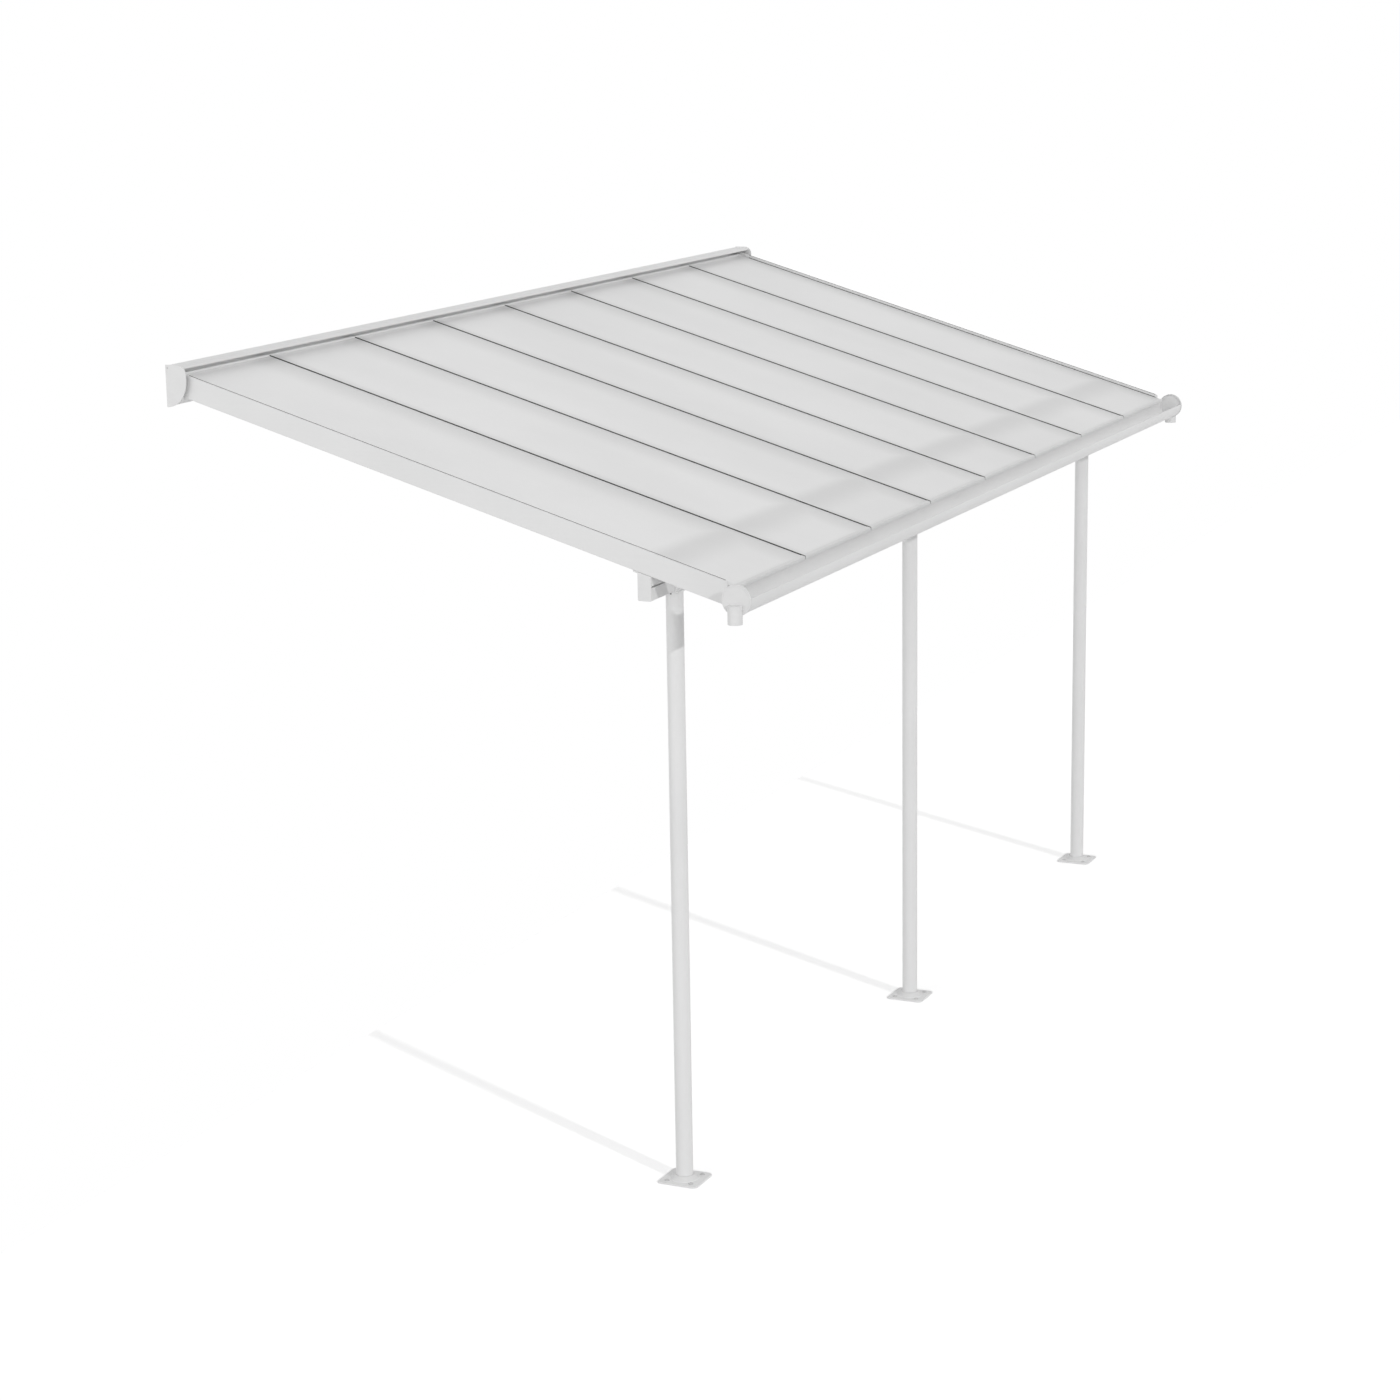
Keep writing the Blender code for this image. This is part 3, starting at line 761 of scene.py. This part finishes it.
@dataclass
class Seals:
    """Rubber over the seams and beside the side lips, and a pale foam strip along the sheets' upper ends."""

    finish: SealRubber = SealRubber()
    foam_finish: MouldedPlastic = MouldedPlastic(
        "closed_cell_foam_pale", (0.92, 0.92, 0.92), roughness=0.7, grain_scale=700.0, grain_depth=0.0003)
    lift: float = 0.0002
    head_width: float = 0.0072
    head_rise: float = 0.0020
    head_rounding: float = 0.0007
    stem_width: float = 0.0036
    stem_depth: float = 0.006
    seam_clearance: float = 0.004
    edge_top_clearance: float = 0.05
    edge_foot_clearance: float = 0.030
    edge_rounding: float = 0.0003
    sheet_edge: float = 2.279
    lip_inner: float = 2.281
    lip_rise: float = 0.0115
    bead_width: float = 0.0020
    bead_rise: float = 0.0010
    wedge_width: float = 0.0042
    wedge_rise: float = 0.0018
    wedge_tip: float = 0.0008
    foam_rise: float = 0.0045
    foam_depth: float = 0.010
    foam_crest: float = 0.0045
    foam_rounding: float = 0.0004

    def seam_section(self) -> list[Span]:
        """Lay out a seam seal, a low head on a stem.

        Returns:
            The corners of its section as x and z.
        """
        half, stem, lift = self.head_width / 2, self.stem_width / 2, self.lift
        return [(-half, lift), (-stem, lift), (-stem, -self.stem_depth), (stem, -self.stem_depth),
                (stem, lift), (half, lift), (half, self.head_rise), (-half, self.head_rise)]

    def seams(self, material: bpy.types.Material) -> None:
        """Make the seven seam seals as one piece.

        Args:
            material: their finish.
        """
        low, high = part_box("roof_sheet_1")
        top = high.y - self.seam_clearance
        shape = Shape("seam_seals")
        for number in range(1, SHEET_COUNT):
            start = Vector(((number - SHEET_COUNT / 2) * BAY, top, roof_z(top)))
            strip = bar(upright(self.seam_section(), start), down_roof(top, low.y - self.lift))
            soften(strip, self.head_rounding)
            shape.add(strip)
        shape.finish(material)

    def edges(self, material: bpy.types.Material) -> None:
        """Make the seals beside the two side lips: a wedge on the sheet and a bead on the lip.

        Args:
            material: their finish.
        """
        low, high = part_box("roof_sheet_1")
        top, foot = high.y - self.edge_top_clearance, low.y + self.edge_foot_clearance
        over = self.lip_rise / math.cos(ROOF_PITCH) + self.lift
        crest = over + self.bead_rise
        shape = Shape("edge_seals")
        for side in (-1.0, 1.0):
            start = Vector((side * self.lip_inner, top, roof_z(top)))
            near, inward, outward = side * self.lift, -side * self.wedge_width, side * self.bead_width
            wedge = ((-near, self.lift), (inward, self.lift), (inward, self.wedge_tip),
                     (-near, self.wedge_rise))
            bead = ((near, over), (outward, over), (outward, crest), (near, crest))
            for section in (wedge, bead):
                strip = bar(upright(section, start), down_roof(top, foot))
                soften(strip, self.edge_rounding, 1)
                shape.add(strip)
        shape.finish(material)

    def foam(self, material: bpy.types.Material) -> None:
        """Make the foam strip under the hood, along the sheets' upper ends.

        Args:
            material: its finish.
        """
        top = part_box("roof_sheet_1")[1].y
        section = ((top - self.foam_depth, self.lift), (top, self.lift), (top, self.foam_rise),
                   (top - self.foam_crest, self.foam_rise))
        outline = [Vector((-self.sheet_edge, y, roof_z(y) + z)) for y, z in section]
        strip = bar(outline, Vector((2 * self.sheet_edge, 0.0, 0.0)))
        soften(strip, self.foam_rounding)
        shape = Shape("hood_foam_strip")
        shape.add(strip)
        shape.finish(material)

    def build(self) -> None:
        """Make every seal."""
        rubber = self.finish.build()
        self.seams(rubber)
        self.edges(rubber)
        self.foam(self.foam_finish.build())


@dataclass(frozen=True)
class PanHead:
    """Sizes of a pan head with a socket, and its crown's curve as shares of its radius and height."""

    radius: float
    height: float
    socket: float
    socket_floor: float = 0.35
    socket_flare: float = 1.05
    crown: tuple[Span, ...] = ((0.62, 0.97), (0.88, 0.72), (1.0, 0.30))

    def profile(self) -> list[Span]:
        """Work out half its outline, from the socket's floor over the crown to the seat.

        Returns:
            The points as radius and height.
        """
        floor = self.height * self.socket_floor
        curve = [(self.radius * across, self.height * rise) for across, rise in self.crown]
        return [(0.0, floor), (self.socket, floor), (self.socket * self.socket_flare, self.height),
                *curve, (self.radius, 0.0), (0.0, 0.0)]


class ScrewUse(Enum):
    """Where screws are used, with the head that each use has."""

    FOOT = PanHead(radius=0.0056, height=0.0036, socket=0.0020)
    BRACKET = PanHead(radius=0.0030, height=0.0018, socket=0.0012)
    CAP = PanHead(radius=0.0030, height=0.0014, socket=0.0012)


@dataclass
class Fixings:
    """Screws and washers: through the feet, into the post tops, in the brackets and in the wall caps."""

    zinc: ScrewSteel = ScrewSteel("screw_steel_zinc", (0.70, 0.70, 0.70), metallic=0.15)
    dark: ScrewSteel = ScrewSteel("screw_steel_dark", (0.26, 0.26, 0.26), metallic=0.3)
    head_sides: int = 20
    washer_sides: int = 24
    washer_radius: float = 0.0085
    washer_bore: float = 0.003825
    washer_height: float = 0.0012
    post_xs: Triple = (-2.0857, 0.0, 2.0857)
    post_y: float = -1.7241
    plate_top: float = GROUND_Z + 0.005
    foot_spread: Span = (0.046, 0.043)
    beam_front: float = -1.7386
    beam_back: float = -1.6946
    beam_bottom: float = -0.6044
    cheek: float = 0.0033
    cheek_spread: float = 0.014
    cheek_rise: float = 0.034
    tube_drop: float = 0.0083
    seat_depth: float = 0.0002
    cap_x: float = 2.3047
    cap_spot: Span = (-0.0084, 0.0601)

    def screw(self, shape: Shape, place: Vector, facing: Vector, use: ScrewUse) -> None:
        """Add one screw head to a piece, with the middle of its seat at place and its top facing one way."""
        turn = facing.to_track_quat("Z", "Y").to_matrix().to_4x4()
        shape.add(turned(use.value.profile(), self.head_sides, False), Matrix.Translation(place) @ turn)

    def washer(self, shape: Shape, place: Vector) -> None:
        """Add one flat round washer.

        Args:
            shape: the piece that it joins.
            place: the middle of its underside.
        """
        section = ((self.washer_bore, 0.0), (self.washer_radius, 0.0),
                   (self.washer_radius, self.washer_height), (self.washer_bore, self.washer_height))
        shape.add(turned(section, self.washer_sides, True), Matrix.Translation(place))

    def feet(self, zinc: bpy.types.Material) -> None:
        """Make the four ground screws of each foot.

        Args:
            zinc: their finish.
        """
        for number, x in enumerate(self.post_xs, 1):
            shape = Shape(f"foot_screws_{number}")
            for across in (x - self.foot_spread[0], x + self.foot_spread[0]):
                for along in (self.post_y - self.foot_spread[1], self.post_y + self.foot_spread[1]):
                    spot = Vector((across, along, self.plate_top))
                    self.washer(shape, spot)
                    self.screw(shape, spot + UP * self.washer_height, UP, ScrewUse.FOOT)
            shape.finish(zinc)

    def tops(self, dark: bpy.types.Material) -> None:
        """Make the screws in the cheeks of each bracket and in each post's sides.

        Args:
            dark: their finish.
        """
        cheek_z = self.beam_bottom + self.cheek_rise
        tube_z = self.beam_bottom - self.tube_drop
        for number, x in enumerate(self.post_xs, 1):
            shape = Shape(f"post_top_screws_{number}")
            for side in (-1.0, 1.0):
                across = x + side * self.cheek_spread
                tube_x = x + side * (POST_DIAMETER / 2 - self.seat_depth)
                front = Vector((across, self.beam_front - self.cheek, cheek_z))
                back = Vector((across, self.beam_back + self.cheek, cheek_z))
                tube = Vector((tube_x, self.post_y, tube_z))
                self.screw(shape, front, Vector((0, -1, 0)), ScrewUse.BRACKET)
                self.screw(shape, back, Vector((0, 1, 0)), ScrewUse.BRACKET)
                self.screw(shape, tube, Vector((side, 0, 0)), ScrewUse.BRACKET)
            shape.finish(dark)

    def caps(self, zinc: bpy.types.Material) -> None:
        """Make the screw in each end cap of the wall profile.

        Args:
            zinc: their finish.
        """
        shape = Shape("wall_cap_screws")
        for side in (-1.0, 1.0):
            seat = Vector((side * self.cap_x, *self.cap_spot))
            self.screw(shape, seat, Vector((side, 0, 0)), ScrewUse.CAP)
        shape.finish(zinc)

    def build(self) -> None:
        """Make every fixing."""
        zinc, dark = self.zinc.build(), self.dark.build()
        self.feet(zinc)
        self.tops(dark)
        self.caps(zinc)


@dataclass
class PhotoCamera:
    """The camera that took the photograph, in the part's frame, with its turns in degrees."""

    location: Triple = (-11.082, -5.9466, 1.3112)
    lens: float = 82.2
    sensor: float = 36.0
    reach: float = 200.0
    yaw: float = 65.2793
    pitch: float = 13.522
    roll: float = -0.9027
    rise: float = 34.93 / 1400

    def build(self) -> None:
        """Make the camera and set it as the scene's."""
        yaw, pitch, roll = math.radians(self.yaw), math.radians(self.pitch), math.radians(self.roll)
        ahead = Vector((math.sin(yaw) * math.cos(pitch), math.cos(yaw) * math.cos(pitch), -math.sin(pitch)))
        level = Vector((math.cos(yaw), -math.sin(yaw), 0.0))
        above = level.cross(ahead)
        right = level * math.cos(roll) + above * math.sin(roll)
        up = above * math.cos(roll) - level * math.sin(roll)
        data = bpy.data.cameras.new("camera")
        data.lens = self.lens
        data.sensor_width = self.sensor
        data.shift_y = self.rise
        data.clip_end = self.reach
        made = bpy.data.objects.new("camera", data)
        turn = Matrix((right, up, -ahead)).transposed().to_4x4()
        made.matrix_world = Matrix.Translation(self.location) @ turn
        bpy.context.scene.collection.objects.link(made)
        bpy.context.scene.camera = made


@dataclass(frozen=True)
class Lamp:
    """A distant lamp: the way its light travels from +Y towards +X, its fall and its width, in degrees."""

    name: str
    azimuth: float
    fall: float
    strength: float
    width: float

    def build(self) -> None:
        """Make the lamp."""
        data = bpy.data.lights.new(self.name, "SUN")
        data.energy = self.strength
        data.angle = math.radians(self.width)
        turn, fall = math.radians(self.azimuth), math.radians(self.fall)
        travel = Vector((math.sin(turn) * math.cos(fall), math.cos(turn) * math.cos(fall), -math.sin(fall)))
        made = bpy.data.objects.new(self.name, data)
        made.rotation_euler = travel.to_track_quat("-Z", "Y").to_euler()
        bpy.context.scene.collection.objects.link(made)


@dataclass
class Studio:
    """Pale floor, white surroundings, low sun from the front left and a soft fill."""

    sun: Lamp = Lamp("sun", azimuth=28.0, fall=25.5, strength=0.85, width=1.0)
    fill: Lamp = Lamp("fill", azimuth=112.0, fall=8.0, strength=0.75, width=70.0)
    world_light: float = 0.57
    floor_reach: float = 30.0
    floor_gap: float = 0.0005
    floor_colour: Colour = (0.80, 0.80, 0.80)
    floor_glow: float = 0.31

    def floor_finish(self) -> bpy.types.Material:
        """Make a finish that shows white with soft shadows, and lights the object as a pale floor does.

        Returns:
            Its material.
        """
        graph = Graph(bpy.data.materials.new("studio_floor"))
        matt = graph.out("ShaderNodeBsdfDiffuse", inputs={"Color": (*self.floor_colour, 1.0)})
        bright = graph.out("ShaderNodeBsdfDiffuse", inputs={"Color": WHITE})
        glow = graph.out("ShaderNodeEmission", inputs={"Color": WHITE, "Strength": self.floor_glow})
        seen = graph.out("ShaderNodeAddShader", inputs={0: bright, 1: glow})
        return graph.finished(graph.mixed(graph.shown_white(), matt, seen))

    def floor(self) -> None:
        """Make the floor, which ends at the wall's line."""
        body = bmesh.new()
        bmesh.ops.create_grid(body, x_segments=1, y_segments=1, size=self.floor_reach)
        bmesh.ops.translate(body, vec=(0.0, -self.floor_reach, GROUND_Z - self.floor_gap), verts=body.verts)
        data = bpy.data.meshes.new("floor")
        body.to_mesh(data)
        body.free()
        data.materials.append(self.floor_finish())
        made = bpy.data.objects.new("floor", data)
        bpy.context.scene.collection.objects.link(made)

    def surroundings(self) -> None:
        """Light the object evenly from all round, and show white to the camera and to reflections."""
        graph = Graph(bpy.data.worlds.new("surroundings"))
        soft = graph.out("ShaderNodeBackground", inputs={"Color": WHITE, "Strength": self.world_light})
        white = graph.out("ShaderNodeBackground", inputs={"Color": WHITE, "Strength": 1.0})
        mixed = graph.mixed(graph.shown_white(), soft, white)
        graph.node("ShaderNodeOutputWorld", inputs={"Surface": mixed})
        bpy.context.scene.world = graph.owner

    def build(self) -> None:
        """Make the whole studio."""
        self.floor()
        self.surroundings()
        self.sun.build()
        self.fill.build()
        bpy.context.scene.view_settings.view_transform = "Standard"


@dataclass
class Framework:
    """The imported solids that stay, and the finish of each."""

    casting: Colour = (0.86, 0.86, 0.86)
    casting_roughness: float = 0.48
    post: Colour = (0.83, 0.83, 0.83)
    gutter: Colour = (0.825, 0.825, 0.825)
    # Painted light: the gutter's inner side 5 per cent lighter, where it lies in shade under the sheets'
    # foot.
    gutter_inside_painted_light: PaintedShading = PaintedShading(axis=1, low=-2.048, high=-2.022, start=1.0, end=1.05)
    # Painted shade: the feet's collar 10 per cent darker, where it catches the light.
    foot_collar_painted_shade: PaintedShading = PaintedShading(axis=2, low=GROUND_Z + 0.0055, high=GROUND_Z + 0.0080, start=1.0, end=0.90)
    foot_prefix: str = "post_foot"

    def finishes(self) -> dict[str, bpy.types.Material]:
        """Make one material for each of the record's slots that stays, and one for the feet.

        Returns:
            The materials by slot, with the feet's under their nodes' prefix.
        """
        casting, rough = self.casting, self.casting_roughness
        coats = {
            "wall_profile_white": PowderCoat("powder_coat_wall_profile", Grain.ALONG_WALL),
            "side_beam_white": PowderCoat("powder_coat_side_beams", Grain.DOWN_ROOF),
            "rafter_white": PowderCoat("powder_coat_rafters", Grain.DOWN_ROOF),
            "cross_beam_white": PowderCoat("powder_coat_cross_beam", Grain.ALONG_WALL),
            "post_white": PowderCoat("powder_coat_posts", Grain.UPRIGHT, self.post),
            "gutter_white": PowderCoat("powder_coat_gutter", Grain.ALONG_WALL, self.gutter,
                                       painted_shading=self.gutter_inside_painted_light),
            "bracket_white": PowderCoat("powder_coat_castings", Grain.NONE, casting, rough),
            self.foot_prefix: PowderCoat("powder_coat_feet", Grain.NONE, casting, rough,
                                         painted_shading=self.foot_collar_painted_shade),
            "cap_white_plastic": MouldedPlastic(),
            "spout_white_plastic": MouldedPlastic("moulded_plastic_spouts"),
        }
        return {name: coat.build() for name, coat in coats.items()}

    def dress(self) -> None:
        """Give every carried-over solid its finish."""
        made = self.finishes()
        for part in frame["record"]["subparts"]:
            node, slot = part["node"], part["material_slot"]
            if slot not in made:
                continue
            holders = bpy.data.objects[node].material_slots
            if not holders:
                raise RuntimeError(f"{node} has no material slot")
            finish = made[self.foot_prefix if node.startswith(self.foot_prefix) else slot]
            for holder in holders:
                holder.material = finish
            log.info("%s: %s", node, finish.name)


def main() -> None:
    """Build the camera, the studio and the cover in order."""
    logging.basicConfig(level=logging.INFO, format="%(message)s")
    PhotoCamera().build()
    Studio().build()
    Framework().dress()
    RoofSheets().build()
    Seals().build()
    Fixings().build()
    log.info("patio cover is built")


if __name__ == "__main__":
    main()
